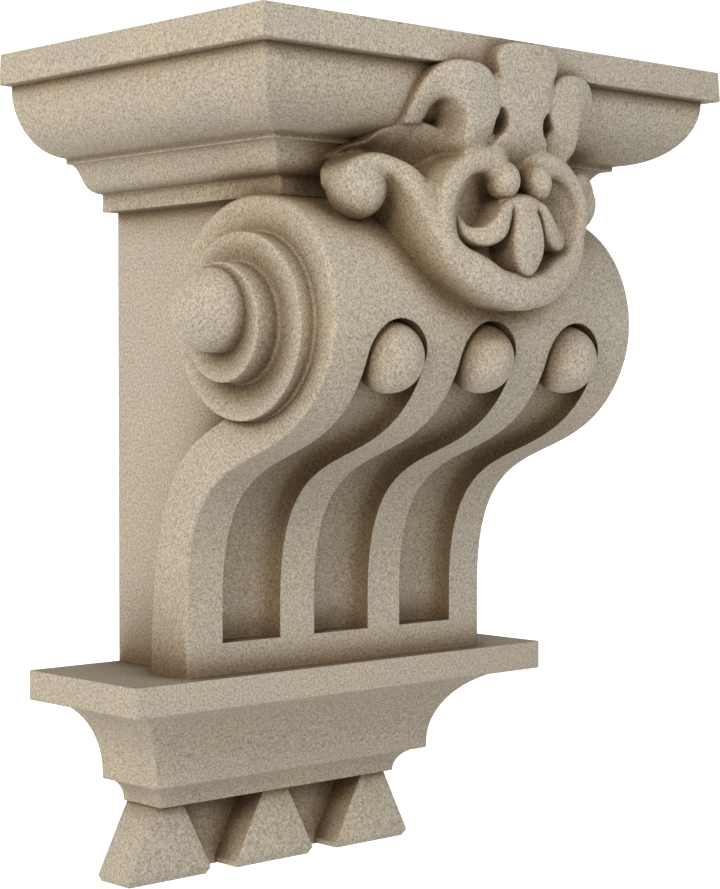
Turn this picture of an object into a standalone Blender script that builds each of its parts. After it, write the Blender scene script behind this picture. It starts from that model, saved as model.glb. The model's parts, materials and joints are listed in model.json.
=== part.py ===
"""Carved sandstone corbel: a moulded cap on a fluted, scrolled console, over a ledge with three guttae.

Metres, +Z up. The origin is the middle of the flat back face, which lies against the wall in the plane y = 0.
The front looks along -Y. Depths are measured from the wall, drops from the top of the cap.
"""

import math

import bmesh
import bpy
from mathutils import Vector

# Overall size
TOTAL_HEIGHT = 0.610
CAP_WIDTH = 0.4534
CAP_DEPTH = 0.2942

# Cap mouldings from the top down
FASCIA_HEIGHT = 0.0221
OVOLO_SET_BACK = 0.0103
OVOLO_STILT = 0.0011
OVOLO_RADIUS = 0.0472
FILLET_HEIGHT = 0.0042
FILLET_SET_BACK = 0.0053
CYMA_HEIGHT = 0.0202
CYMA_PROJECTION = 0.0274
CYMA_LEAN = math.radians(62.0)
BAND_HEIGHT = 0.0131

# Back block, and how far the console's sides stand out from it
BLOCK_WIDTH = 0.2450
CONSOLE_PROUD = 0.0255

# Console outline in side view
HEAD_RADIUS = 0.0846
HEAD_CENTRE_DEPTH = 0.1887
HEAD_OVERLAP = 0.0022
HEAD_LEAVING_ANGLE = math.radians(-28.4)
SHAFT_DEPTH = 0.1148
SHAFT_FOOT_HEIGHT = 0.0497
STRAP_THICKNESS = 0.0405
HEAD_EDGE_ROUND = 0.0068
STRAP_EDGE_ROUND = 0.0025
SOFT_EDGE_SHARE = 0.25
CRISP_EDGE_SHARE = 0.55
STRAP_SPRING_ANGLE = math.radians(33.0)

# Three flutes down the console's front, each with a half ball in its round top
FLUTE_COUNT = 3
FLUTE_WIDTH = 0.0543
FLUTE_DEPTH = 0.0195
FLUTE_APEX_ARC = 0.1347
FLUTE_SILL_HEIGHT = 0.0227
FLUTE_SQUARENESS = 2.8
BALL_RADIUS = 0.0245
BALL_SINK = 0.0080
BALL_DROP = 0.0025

# Volutes on both sides of the head
VOLUTE_SHRINK_PER_TURN = 0.6305
VOLUTE_RISE_PER_TURN = 0.0161
VOLUTE_LOG_RADIUS = 0.1006
VOLUTE_FIRST_HEIGHT = -0.0037
VOLUTE_CROWN_TURN = 0.17
VOLUTE_CLEAR_TURN = 0.36
VOLUTE_TUCK_TURN = 2.3
VOLUTE_TURNS = 2.6
EYE_RADIUS = 0.0284
EYE_LIFT = 0.0035

# Ledge and the mouldings under it
LEDGE_WIDTH = 0.4060
LEDGE_DEPTH = 0.1306
LEDGE_HEIGHT = 0.0219
CAVETTO_SET_BACK = 0.0036
CAVETTO_RADIUS = 0.0610
CAVETTO_FILLET = 0.0037
LOWER_CAVETTO_SET_BACK = 0.0010
LOWER_CAVETTO_RADIUS = 0.0187

# Guttae and the panel behind them
GUTTA_COUNT = 3
GUTTA_HEIGHT = 0.0585
GUTTA_TOP_WIDTH = 0.0240
GUTTA_BOTTOM_WIDTH = 0.0790
GUTTA_SET_BACK = 0.0084
GUTTA_CHAMFER_HEIGHT = 0.0048
GUTTA_CHAMFER_INSET = 0.0029
GUTTA_SPACING = 0.1033
PANEL_DEPTH = 0.0107

# Carved palmette: all its forms are shares of its height, and it hangs from the cap's front
ORNAMENT_HEIGHT = 0.1808
ORNAMENT_TOP_DROP = 0.0046
ORNAMENT_FORWARD = 0.0168

# Steps that round shapes are drawn with, hidden overlaps between forms, and the weld between stray points
ARC_STEPS = 8
TURN_STEPS = 26
SECTION_SIDES = 10
OVERLAP = 0.006
WELD = 0.00002
ROUND_STEP = 30.0

STONE_COLOUR = (0.42, 0.35, 0.25, 1.0)
STONE_ROUGHNESS = 0.93

TOP = TOTAL_HEIGHT / 2.0
BOTTOM = -TOTAL_HEIGHT / 2.0
BLOCK_HALF = BLOCK_WIDTH / 2.0
CONSOLE_HALF = BLOCK_HALF + CONSOLE_PROUD
LEDGE_TOP = (BOTTOM + GUTTA_HEIGHT + LOWER_CAVETTO_RADIUS + LOWER_CAVETTO_SET_BACK
             + CAVETTO_FILLET + CAVETTO_RADIUS + LEDGE_HEIGHT)


def clear_scene():
    for item in list(bpy.data.objects):
        bpy.data.objects.remove(item, do_unlink=True)


def stone_material():
    material = bpy.data.materials.new("sandstone")
    material.use_nodes = True
    shader = material.node_tree.nodes["Principled BSDF"]
    shader.inputs["Base Color"].default_value = STONE_COLOUR
    shader.inputs["Roughness"].default_value = STONE_ROUGHNESS
    shader.inputs["Metallic"].default_value = 0.0
    return material


def solid(name, points, faces, collection):
    """A closed mesh object with its faces turned outward."""
    mesh = bpy.data.meshes.new(name)
    mesh.from_pydata(points, [], faces)
    body = bmesh.new()
    body.from_mesh(mesh)
    bmesh.ops.remove_doubles(body, verts=body.verts, dist=1e-6)
    bmesh.ops.recalc_face_normals(body, faces=body.faces)
    body.to_mesh(mesh)
    body.free()
    item = bpy.data.objects.new(name, mesh)
    collection.objects.link(item)
    return item


def lofted(name, rings, collection):
    """A closed solid through a row of rings that all have the same number of points."""
    count = len(rings[0])
    points = [point for ring in rings for point in ring]
    faces = [list(range(count))]
    for row in range(len(rings) - 1):
        for k in range(count):
            after = (k + 1) % count
            low = row * count
            high = low + count
            faces.append([low + k, low + after, high + after, high + k])
    faces.append([(len(rings) - 1) * count + k for k in range(count)])
    return solid(name, points, faces, collection)


def arc(centre, radius, start, end, steps):
    """Points on a circle, both ends included; angles in radians."""
    turn = (end - start) / steps
    return [(centre[0] + radius * math.cos(start + turn * i),
             centre[1] + radius * math.sin(start + turn * i)) for i in range(steps + 1)]


def bezier(p0, p1, p2, p3, steps):
    points = []
    for i in range(steps + 1):
        t = i / steps
        u = 1.0 - t
        weights = (u ** 3, 3 * u * u * t, 3 * u * t * t, t ** 3)
        points.append(tuple(sum(w * p[k] for w, p in zip(weights, (p0, p1, p2, p3)))
                            for k in range(len(p0))))
    return points


def moulding(name, profile, width, depth, collection):
    """A block whose moulding runs mitred round its left, front and right; profile is (inset, z)."""
    rings = []
    for inset, z in profile:
        half = width / 2.0 - inset
        front = -(depth - inset)
        rings.append([(-half, 0.0, z), (-half, front, z), (half, front, z), (half, 0.0, z)])
    return lofted(name, rings, collection)


def extruded(name, outline, half_width, collection):
    """An outline of (depth, z) points, extruded across x from -half_width to half_width."""
    return lofted(name, [[(x, -depth, z) for depth, z in outline]
                         for x in (-half_width, half_width)], collection)


def cap_profile():
    """The cap from its top face down to the bottom of its band, as (inset, z)."""
    ovolo_foot = OVOLO_SET_BACK + OVOLO_RADIUS
    ovolo_top = TOP - FASCIA_HEIGHT - OVOLO_STILT
    points = [(0.0, TOP), (0.0, TOP - FASCIA_HEIGHT), (OVOLO_SET_BACK, TOP - FASCIA_HEIGHT)]
    points += arc((ovolo_foot, ovolo_top), OVOLO_RADIUS, math.pi, 1.5 * math.pi, ARC_STEPS)
    fillet_foot = ovolo_top - OVOLO_RADIUS - FILLET_HEIGHT
    cyma_start = ovolo_foot + FILLET_SET_BACK
    points += [(ovolo_foot, fillet_foot), (cyma_start, fillet_foot)]
    points += cyma_curve(cyma_start, fillet_foot)
    band_top = fillet_foot - CYMA_HEIGHT
    band_inset = cyma_start + CYMA_PROJECTION
    points.append((band_inset, band_top - BAND_HEIGHT))
    return points


def cyma_curve(inset, z):
    """A small hollow that turns over into a larger round, ending level."""
    round_share = 0.72
    middle = (inset + (1.0 - round_share) * CYMA_PROJECTION, z - 0.42 * CYMA_HEIGHT)
    end = (inset + CYMA_PROJECTION, z - CYMA_HEIGHT)
    lean = (math.cos(CYMA_LEAN), -math.sin(CYMA_LEAN))
    hollow = 0.4 * math.hypot(middle[0] - inset, middle[1] - z)
    swell = 0.42 * math.hypot(end[0] - middle[0], end[1] - middle[1])
    first = bezier((inset, z), (inset + hollow * 0.85, z - hollow * 0.5),
                   (middle[0] - lean[0] * hollow, middle[1] - lean[1] * hollow), middle, 3)
    second = bezier(middle, (middle[0] + lean[0] * swell, middle[1] + lean[1] * swell),
                    (end[0] - swell, end[1]), end, 5)
    return first[1:] + second[1:]


def cap_bottom():
    return (TOP - FASCIA_HEIGHT - OVOLO_STILT - OVOLO_RADIUS - FILLET_HEIGHT
            - CYMA_HEIGHT - BAND_HEIGHT)


def ledge_profile():
    """The ledge from its top face down to the top of the guttae, as (inset, z)."""
    underside = LEDGE_TOP - LEDGE_HEIGHT
    points = [(0.0, LEDGE_TOP), (0.0, underside), (CAVETTO_SET_BACK, underside)]
    centre = (CAVETTO_SET_BACK, underside - CAVETTO_RADIUS)
    points += arc(centre, CAVETTO_RADIUS, 0.5 * math.pi, 0.0, ARC_STEPS)[1:]
    fillet_foot = centre[1] - CAVETTO_FILLET
    inset = CAVETTO_SET_BACK + CAVETTO_RADIUS + LOWER_CAVETTO_SET_BACK
    points += [(CAVETTO_SET_BACK + CAVETTO_RADIUS, fillet_foot)]
    lower = (inset, fillet_foot - LOWER_CAVETTO_SET_BACK - LOWER_CAVETTO_RADIUS)
    points += arc(lower, LOWER_CAVETTO_RADIUS, 0.5 * math.pi, 0.0, ARC_STEPS // 2)
    return points


def head_centre():
    return (HEAD_CENTRE_DEPTH, cap_bottom() + HEAD_OVERLAP - HEAD_RADIUS)


def front_curve(steps):
    """The console's front from the crown of the head down to its foot, as (depth, z)."""
    centre = head_centre()
    points = arc(centre, HEAD_RADIUS, 0.5 * math.pi, HEAD_LEAVING_ANGLE, 2 * steps)
    start = points[-1]
    foot = (SHAFT_DEPTH, LEDGE_TOP + SHAFT_FOOT_HEIGHT)
    drop = start[1] - foot[1]
    reach = 0.581 * drop
    rise = 0.841 * drop
    leaving = (math.sin(HEAD_LEAVING_ANGLE), -math.cos(HEAD_LEAVING_ANGLE))
    points += bezier(start, (start[0] + reach * leaving[0], start[1] + reach * leaving[1]),
                     (foot[0], foot[1] + rise), foot, 2 * steps)[1:]
    return points


def strap_back_curve(steps):
    """The back edge of the console's side strap, from the head down to the ledge."""
    centre = head_centre()
    start = (centre[0] - 0.32 * HEAD_RADIUS, centre[1] - 0.81 * HEAD_RADIUS)
    foot = (SHAFT_DEPTH - STRAP_THICKNESS, LEDGE_TOP)
    drop = start[1] - foot[1]
    leaving = (-math.cos(STRAP_SPRING_ANGLE), -math.sin(STRAP_SPRING_ANGLE))
    reach = 0.198 * drop
    return bezier(start, (start[0] + reach * leaving[0], start[1] + reach * leaving[1]),
                  (foot[0], foot[1] + 0.93 * drop), foot, steps)


def console_pieces(collection):
    """The wide scrolled console and the narrower block between it and the wall."""
    centre = head_centre()
    front = front_curve(ARC_STEPS)
    back = strap_back_curve(ARC_STEPS)
    sunk_foot = LEDGE_TOP - OVERLAP
    hidden = [(back[-1][0], sunk_foot)] + back[::-1] + [centre]
    front_to_foot = front + [(SHAFT_DEPTH, sunk_foot)]
    rings = []
    for side, inward, inset in rounded_sides():
        edge = side * (CONSOLE_HALF - inward * STRAP_EDGE_ROUND)
        rings.append([(side * (CONSOLE_HALF - inward * radius), -depth, z)
                      for radius, depth, z in inset_front(front_to_foot, inset)]
                     + [(edge, -depth, z) for depth, z in hidden])
    lofted("console", rings, collection)
    middle = [((a[0] + b[0]) / 2.0, (a[1] + b[1]) / 2.0)
              for a, b in zip(back[::2], front[-2 * ARC_STEPS - 1::4])]
    top = cap_bottom() + OVERLAP
    block = [(0.0, top), (centre[0], top), centre] + middle
    block += [(middle[-1][0], sunk_foot), (0.0, sunk_foot)]
    extruded("block", block, BLOCK_HALF, collection)


def edge_round(share):
    """The rounding of the console's side edges at a share of the front's length: soft on the head, then crisp."""
    t = min(max((share - SOFT_EDGE_SHARE) / (CRISP_EDGE_SHARE - SOFT_EDGE_SHARE), 0.0), 1.0)
    t = t * t * (3.0 - 2.0 * t)
    return HEAD_EDGE_ROUND + (STRAP_EDGE_ROUND - HEAD_EDGE_ROUND) * t


def inset_front(curve, inset):
    """The front curve drawn back into the stone by a share of its edge rounding, as (rounding, depth, z)."""
    points = []
    last = len(curve) - 1
    for i, (depth, z) in enumerate(curve):
        before = curve[max(i - 1, 0)]
        after = curve[min(i + 1, last)]
        run = math.dist(before, after)
        radius = edge_round(i / last)
        points.append((radius, depth + inset * radius * (after[1] - before[1]) / run,
                       z - inset * radius * (after[0] - before[0]) / run))
    return points


def rounded_sides():
    """Stations across the console as (side, share of the rounding inward, share of it back from the front)."""
    quarter = [(1.0 - math.sin(a), 1.0 - math.cos(a))
               for a in (math.radians(ROUND_STEP * i) for i in range(round(90.0 / ROUND_STEP) + 1))]
    left = [(-1, inward, inset) for inward, inset in quarter[::-1]]
    return left + [(1, inward, inset) for _, inward, inset in left[::-1]]


def along(curve, distance):
    """The point and the outward normal at a distance along a (depth, z) curve."""
    for a, b in zip(curve, curve[1:]):
        length = math.dist(a, b)
        if distance <= length or b is curve[-1]:
            share = distance / length
            step = ((b[0] - a[0]) / length, (b[1] - a[1]) / length)
            point = (a[0] + (b[0] - a[0]) * share, a[1] + (b[1] - a[1]) * share)
            return point, (-step[1], step[0])
        distance -= length
    return curve[-1], (1.0, 0.0)


def curve_length(curve):
    return sum(math.dist(a, b) for a, b in zip(curve, curve[1:]))


def flute_centres():
    rib = (2.0 * CONSOLE_HALF - FLUTE_COUNT * FLUTE_WIDTH) / (FLUTE_COUNT + 1)
    pitch = FLUTE_WIDTH + rib
    first = -CONSOLE_HALF + rib + FLUTE_WIDTH / 2.0
    return [first + pitch * i for i in range(FLUTE_COUNT)]


def flute_section(half, floor):
    """Across the flute: (x, depth into the stone), square-shouldered with a hollow floor."""
    points = []
    sides = SECTION_SIDES
    for k in range(sides + 1):
        angle = math.pi * k / sides
        x = math.copysign(abs(math.cos(angle)) ** (2.0 / FLUTE_SQUARENESS), math.cos(angle))
        points.append((x * half, floor * max(math.sin(angle), 0.0) ** (2.0 / FLUTE_SQUARENESS)))
    return points


def flute_cutter(x_centre, collection):
    """One flute: a round-topped channel bent over the console's front down to a level sill."""
    curve = front_curve(4 * ARC_STEPS)
    curve.append((SHAFT_DEPTH, LEDGE_TOP))
    end = curve_length(curve) - FLUTE_SILL_HEIGHT
    half = FLUTE_WIDTH / 2.0
    stations = [(FLUTE_APEX_ARC + half * (1.0 - math.cos(angle)), half * math.sin(angle))
                for angle in (math.radians(a) for a in (3, 15, 30, 45, 60, 75, 90))]
    run = end - stations[-1][0]
    steps = 2 * ARC_STEPS - 2
    stations += [(stations[-1][0] + run * i / steps, half) for i in range(1, steps + 1)]
    rings = []
    for distance, reach in stations:
        point, normal = along(curve, distance)
        ring = []
        for x, sink in [(reach, -BALL_RADIUS)] + flute_section(reach, FLUTE_DEPTH) + [(-reach, -BALL_RADIUS)]:
            ring.append((x_centre + x, -(point[0] - normal[0] * sink), point[1] - normal[1] * sink))
        rings.append(ring)
    return lofted("flute", rings, collection)


def ball(name, centre, radii, collection, rings=8, segments=16):
    """An ellipsoid with its poles along Z."""
    rows = []
    for i in range(1, rings):
        polar = math.pi * i / rings
        rows.append([(centre[0] + radii[0] * math.sin(polar) * math.cos(math.tau * k / segments),
                      centre[1] + radii[1] * math.sin(polar) * math.sin(math.tau * k / segments),
                      centre[2] + radii[2] * math.cos(polar)) for k in range(segments)])
    points = [point for row in rows for point in row]
    top = len(points)
    points.append((centre[0], centre[1], centre[2] + radii[2]))
    points.append((centre[0], centre[1], centre[2] - radii[2]))
    faces = []
    last = (rings - 2) * segments
    for k in range(segments):
        after = (k + 1) % segments
        faces.append([top, k, after])
        faces.append([top + 1, last + after, last + k])
        for row in range(rings - 2):
            low = row * segments
            faces.append([low + k, low + segments + k, low + segments + after, low + after])
    return solid(name, points, faces, collection)


def flute_balls(collection):
    curve = front_curve(4 * ARC_STEPS)
    point, normal = along(curve, FLUTE_APEX_ARC + FLUTE_WIDTH / 2.0 + BALL_DROP)
    for x in flute_centres():
        centre = (x, -(point[0] - normal[0] * BALL_SINK), point[1] - normal[1] * BALL_SINK)
        ball("ball", centre, (BALL_RADIUS,) * 3, collection)


def volute_radius(angle):
    """The scroll's edge: it leaves the head's rounded edge at the crown, winds inward and ends under the eye."""
    turn = angle / math.tau
    clear = min(max((turn - VOLUTE_CROWN_TURN) / (VOLUTE_CLEAR_TURN - VOLUTE_CROWN_TURN), 0.0), 1.0)
    start = HEAD_RADIUS - (1.0 - clear) * 1.2 * HEAD_EDGE_ROUND
    radius = min(start, VOLUTE_LOG_RADIUS * VOLUTE_SHRINK_PER_TURN ** turn)
    tuck = max(turn - VOLUTE_TUCK_TURN, 0.0) / (VOLUTE_TURNS - VOLUTE_TUCK_TURN)
    return radius + (0.8 * EYE_RADIUS - radius) * tuck


def volute_height(angle):
    """How far the scroll's face stands out from the console's side."""
    return VOLUTE_FIRST_HEIGHT + VOLUTE_RISE_PER_TURN * min(angle / math.tau, VOLUTE_TUCK_TURN)


def volute(side, collection):
    """A stepped scroll that winds inward and outward from the head's side to its eye."""
    centre = head_centre()
    count = round(VOLUTE_TURNS * TURN_STEPS)
    base = CONSOLE_HALF - 1.5 * CONSOLE_PROUD
    points = []

    def add(radius, angle, x):
        points.append((side * x, -(centre[0] + radius * math.cos(angle)),
                       centre[1] + radius * math.sin(angle)))
        return len(points) - 1

    angles = [math.tau * i / TURN_STEPS for i in range(count + 1)]
    heights = [CONSOLE_HALF + volute_height(angle) for angle in angles]
    edge = [add(volute_radius(a), a, h) for a, h in zip(angles, heights)]
    outer = [add(volute_radius(a), a, base) for a in angles[:TURN_STEPS + 1]]
    foot = {i: add(volute_radius(angles[i]), angles[i], heights[i - TURN_STEPS])
            for i in range(TURN_STEPS, count + 1)}
    last_start = count - TURN_STEPS
    inner = {i: add(0.4 * EYE_RADIUS, angles[i], heights[i]) for i in range(last_start, count + 1)}
    hub = add(0.0, 0.0, heights[-1] - 0.5 * VOLUTE_RISE_PER_TURN)
    faces = [outer[::-1], [outer[0], edge[0], foot[TURN_STEPS], outer[TURN_STEPS]]]
    for i in range(count):
        if i < TURN_STEPS:
            faces.append([outer[i], outer[i + 1], edge[i + 1], edge[i]])
        else:
            faces.append([foot[i], foot[i + 1], edge[i + 1], edge[i]])
        if i < last_start:
            faces.append([edge[i], edge[i + 1], foot[i + 1 + TURN_STEPS], foot[i + TURN_STEPS]])
        else:
            corner = [foot[count]] if i == last_start else []
            faces.append([edge[i], edge[i + 1], inner[i + 1], inner[i]] + corner)
            faces.append([inner[i], inner[i + 1], hub])
    faces.append([foot[count], edge[count], inner[count], hub, inner[last_start]])
    solid("volute", points, faces, collection)
    eye_z = centre[1] + EYE_LIFT
    rings = [[(side * x, -(centre[0] + EYE_RADIUS * r * math.cos(math.tau * k / 16)),
               eye_z + EYE_RADIUS * r * math.sin(math.tau * k / 16)) for k in range(16)]
             for x, r in eye_profile(heights[-1])]
    lofted("eye", rings, collection)


def eye_profile(seat):
    """The eye as (x, share of its radius): a half ball on the last turn, its root inside the scroll."""
    profile = [(CONSOLE_HALF, 1.0)]
    for i in range(6):
        angle = math.radians(15.0 * i)
        profile.append((seat + EYE_RADIUS * math.sin(angle), math.cos(angle)))
    profile.append((seat + EYE_RADIUS, 0.06))
    return profile


def guttae(collection):
    """Wedge-shaped drops under the ledge, and the thin panel behind them."""
    top = BOTTOM + GUTTA_HEIGHT
    chamfer_z = BOTTOM + GUTTA_CHAMFER_HEIGHT
    front = LEDGE_DEPTH - (CAVETTO_SET_BACK + CAVETTO_RADIUS + LOWER_CAVETTO_SET_BACK
                           + LOWER_CAVETTO_RADIUS) - GUTTA_SET_BACK
    slope = (GUTTA_BOTTOM_WIDTH - GUTTA_TOP_WIDTH) / 2.0 / (top - chamfer_z)
    levels = [(top + OVERLAP, GUTTA_TOP_WIDTH / 2.0 - slope * OVERLAP, front),
              (chamfer_z, GUTTA_BOTTOM_WIDTH / 2.0, front),
              (BOTTOM, GUTTA_BOTTOM_WIDTH / 2.0 - GUTTA_CHAMFER_INSET, front - GUTTA_CHAMFER_INSET)]
    first = -GUTTA_SPACING * (GUTTA_COUNT - 1) / 2.0
    for i in range(GUTTA_COUNT):
        x = first + GUTTA_SPACING * i
        rings = [[(x - half, 0.0, z), (x - half, -depth, z), (x + half, -depth, z), (x + half, 0.0, z)]
                 for z, half, depth in levels]
        lofted("gutta", rings, collection)
    panel_half = abs(first)
    rings = [[(-panel_half, 0.0, z), (-panel_half, -PANEL_DEPTH, z),
              (panel_half, -PANEL_DEPTH, z), (panel_half, 0.0, z)] for z in (top + OVERLAP, BOTTOM)]
    lofted("panel", rings, collection)


# The palmette is drawn on a sheet 180.8 units high: x from its middle, z down from the cap's top,
# d out from the wall. One unit is one share of its height.
SHEET_HEIGHT = 180.8
SHEET_TOP = 4.6
SHEET_FRONT = 311.0
SHEET_BACK = 200.0


def sheet_point(x, z, d):
    unit = ORNAMENT_HEIGHT / SHEET_HEIGHT
    return Vector((x * unit,
                   -(CAP_DEPTH + ORNAMENT_FORWARD + (d - SHEET_FRONT) * unit),
                   TOP - ORNAMENT_TOP_DROP + (z + SHEET_TOP) * unit))


def smooth_row(keys, steps):
    """Catmull-Rom through key rows of any length, both ends included."""
    rows = []
    last = len(keys) - 1
    for i in range(last):
        k0, k1, k2, k3 = keys[max(i - 1, 0)], keys[i], keys[i + 1], keys[min(i + 2, last)]
        for j in range(steps):
            t = j / steps
            rows.append(tuple(0.5 * ((2 * b) + (c - a) * t + (2 * a - 5 * b + 4 * c - d) * t * t
                                     + (3 * b - a - 3 * c + d) * t ** 3)
                              for a, b, c, d in zip(k0, k1, k2, k3)))
    rows.append(tuple(keys[last]))
    return rows


def carved_band(name, keys, side, collection, steps=2, squareness=2.4, tilt=0.0):
    """A carved member swept along key rows of (x, z, front d, half width, crown, root d): its front is
    rounded by the crown, sloped back across its width by the tilt, and its sides run straight back."""
    rows = smooth_row(keys, steps)
    rings = []
    for i, (x, z, front, half, crown, root) in enumerate(rows):
        before = rows[max(i - 1, 0)]
        after = rows[min(i + 1, len(rows) - 1)]
        run = Vector((after[0] - before[0], after[1] - before[1])).normalized()
        across = Vector((-run.y, run.x))
        ring = []
        for u, v in crowned_section(squareness):
            depth = front - crown + v * crown - tilt * (1.0 + u) / 2.0 if v >= 0.0 else root
            ring.append(sheet_point(side * (x + across.x * u * half), z + across.y * u * half, depth))
        rings.append(ring)
    return lofted(name, rings, collection)


def crowned_section(squareness):
    """Across a carved member: (share of its half width, share of its crown), then its two back corners."""
    points = []
    for k in range(SECTION_SIDES - 2):
        angle = math.pi * k / (SECTION_SIDES - 3)
        u = math.copysign(abs(math.cos(angle)) ** (2.0 / squareness), math.cos(angle))
        points.append((u, max(math.sin(angle), 0.0) ** (2.0 / squareness)))
    return points + [(-1.0, -1.0), (1.0, -1.0)]


CENTRE_PETAL = [(0, -98, 284, 10, 5, 200), (0, -86, 292, 20, 5, 200), (0, -75, 299, 25, 5, 200),
                (0, -62, 303, 17.5, 5, 200), (0, -50, 304, 20, 5, 210), (0, -34, 305, 25, 5, 240),
                (0, -19, 308, 30, 5, 260), (0, -10, 310.5, 27, 5, 270), (0, -4.6, 311, 16, 5, 275)]
HOOKED_PETAL = [(-26, -92, 284, 8, 5, 200), (-33, -78, 292, 9.5, 5, 200), (-37.5, -70, 297, 10.5, 5, 205),
                (-40, -63, 301, 12, 5, 215), (-41, -56, 303, 15.5, 5, 225), (-41.3, -48.5, 303, 18.5, 5, 230),
                (-44.5, -39.5, 303, 19, 5, 235), (-55.5, -34.3, 302, 15, 5, 245), (-67, -33.8, 298, 12.5, 5, 245),
                (-75.3, -38.5, 292, 9.8, 5, 240), (-79, -46.5, 286, 7.1, 5, 235), (-79.8, -54.5, 279, 5.9, 5, 232),
                (-79.3, -62.5, 271, 4.8, 4, 230)]
POINTED_LEAF = [(-30, -84, 280, 12, 6, 185), (-46, -81, 279, 18, 6, 185), (-62, -78, 278, 20.5, 6, 185),
                (-76, -83, 273, 18.5, 6, 185), (-88, -88, 265, 15.5, 6, 185), (-98, -91, 256, 12, 6, 185),
                (-107, -93, 247, 7, 5, 185), (-113, -95, 240, 3, 4, 185)]
SCROLL_ARM = [(-119, -104, 257, 6, 6, 230), (-120, -95, 259, 7, 7, 230), (-112, -89, 263, 7, 7, 228),
              (-102, -88, 267, 7, 7, 225), (-93, -91, 271, 7, 7, 215), (-84, -97, 277, 9, 8, 200),
              (-75, -108, 285, 10.5, 9, 200), (-67.6, -121.5, 291, 12, 10, 200),
              (-60.8, -136.8, 296, 13, 10, 200), (-51, -149.3, 300, 14.5, 10, 200),
              (-38, -161, 304, 14, 10, 200), (-19.4, -170.5, 307, 12.5, 10, 200),
              (8, -173.5, 308, 12.5, 10, 200)]
INNER_CURL = [(-60, -140, 296, 6, 7, 250), (-64, -124, 297, 8, 8, 250), (-60.5, -108, 299, 9, 9, 250),
              (-51, -94, 300, 9.5, 9, 250), (-36, -84.5, 301, 10, 9, 250), (-20, -84.5, 301, 10.5, 9, 255),
              (-11.5, -93, 301, 9.5, 9, 265), (-14, -100, 300, 8, 8, 275)]
SMALL_LEAF = [(-11, -114, 305, 4, 5, 270), (-14, -121, 306, 6.5, 7, 268), (-21, -128.5, 306, 8, 8, 265),
              (-33, -135.5, 304, 8, 8, 265), (-44, -135, 299, 7.5, 8, 262), (-51, -130, 293, 6.5, 7, 258),
              (-55, -123, 287, 4.5, 5, 255)]
BUD = [(0, -108, 305, 7, 6, 265), (0, -118, 309, 12.5, 6, 265), (0, -130, 311.5, 16, 6, 265),
       (0, -142, 311.5, 16, 6, 265), (0, -152, 310, 12, 6, 265), (0, -158.5, 308, 7.5, 5, 265),
       (0, -162, 306, 2, 4, 265)]
LEAF_TILT = 30.0


def dish(collection):
    """The hollowed body of the ring, from the console's head out to its rim."""
    middle_z = -123.0
    # each loop: half width, drop below the middle, rise above it, and d
    loops = [(70, 56, 44, SHEET_BACK), (70, 56, 44, 285), (66, 50, 43, 292), (62, 44, 42, 295),
             (56, 38, 38, 291), (44, 30, 30, 285), (22, 15, 15, 282)]
    segments = 24
    rings = []
    for half, below, above, d in loops:
        ring = []
        for k in range(segments):
            angle = math.tau * k / segments
            z = math.sin(angle) * (above if math.sin(angle) > 0 else below)
            ring.append(sheet_point(half * math.cos(angle), middle_z + z, d))
        rings.append(ring)
    return lofted("dish", rings, collection)


def palmette(collection):
    """The ring with its bud and curls, the scrolled arms at its sides and the petals over it."""
    dish(collection)
    carved_band("centre_petal", CENTRE_PETAL, 1, collection, squareness=3.0)
    carved_band("bud", BUD, 1, collection)
    unit = ORNAMENT_HEIGHT / SHEET_HEIGHT
    for side in (1, -1):
        carved_band("hooked_petal", HOOKED_PETAL, side, collection, steps=1, squareness=3.0)
        carved_band("pointed_leaf", POINTED_LEAF, side, collection, steps=1, tilt=LEAF_TILT)
        carved_band("scroll_arm", SCROLL_ARM, side, collection)
        carved_band("inner_curl", INNER_CURL, side, collection)
        carved_band("small_leaf", SMALL_LEAF, side, collection)
        ball("curl_knob", sheet_point(side * -16.5, -97, 296), (11.5 * unit,) * 3,
             collection, rings=6, segments=12)
        ball("scroll_knob", sheet_point(side * -108, -104, 245), (21 * unit, 23 * unit, 22 * unit),
             collection, rings=7, segments=14)


def apply_modifiers(item):
    """Keep the evaluated mesh as the object's own."""
    depsgraph = bpy.context.evaluated_depsgraph_get()
    item.data = bpy.data.meshes.new_from_object(item.evaluated_get(depsgraph))
    item.modifiers.clear()


def boolean(target, collection, operation):
    cut = target.modifiers.new(operation.title(), "BOOLEAN")
    cut.operation = operation
    cut.operand_type = "COLLECTION"
    cut.collection = collection
    cut.solver = "EXACT"
    cut.use_self = operation == "UNION"
    apply_modifiers(target)


def new_collection(name):
    collection = bpy.data.collections.new(name)
    bpy.context.scene.collection.children.link(collection)
    return collection


def discard(collection):
    for item in list(collection.objects):
        bpy.data.objects.remove(item, do_unlink=True)
    bpy.data.collections.remove(collection)


def corbel():
    scene_collection = bpy.context.scene.collection
    body = moulding("corbel", cap_profile(), CAP_WIDTH, CAP_DEPTH, scene_collection)
    added = new_collection("added")
    moulding("ledge", ledge_profile(), LEDGE_WIDTH, LEDGE_DEPTH, added)
    guttae(added)
    console_pieces(added)
    for side in (1, -1):
        volute(side, added)
    boolean(body, added, "UNION")
    discard(added)
    flutes = new_collection("flutes")
    for x in flute_centres():
        flute_cutter(x, flutes)
    boolean(body, flutes, "DIFFERENCE")
    discard(flutes)
    carving = new_collection("carving")
    flute_balls(carving)
    palmette(carving)
    boolean(body, carving, "UNION")
    discard(carving)
    return body


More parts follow.
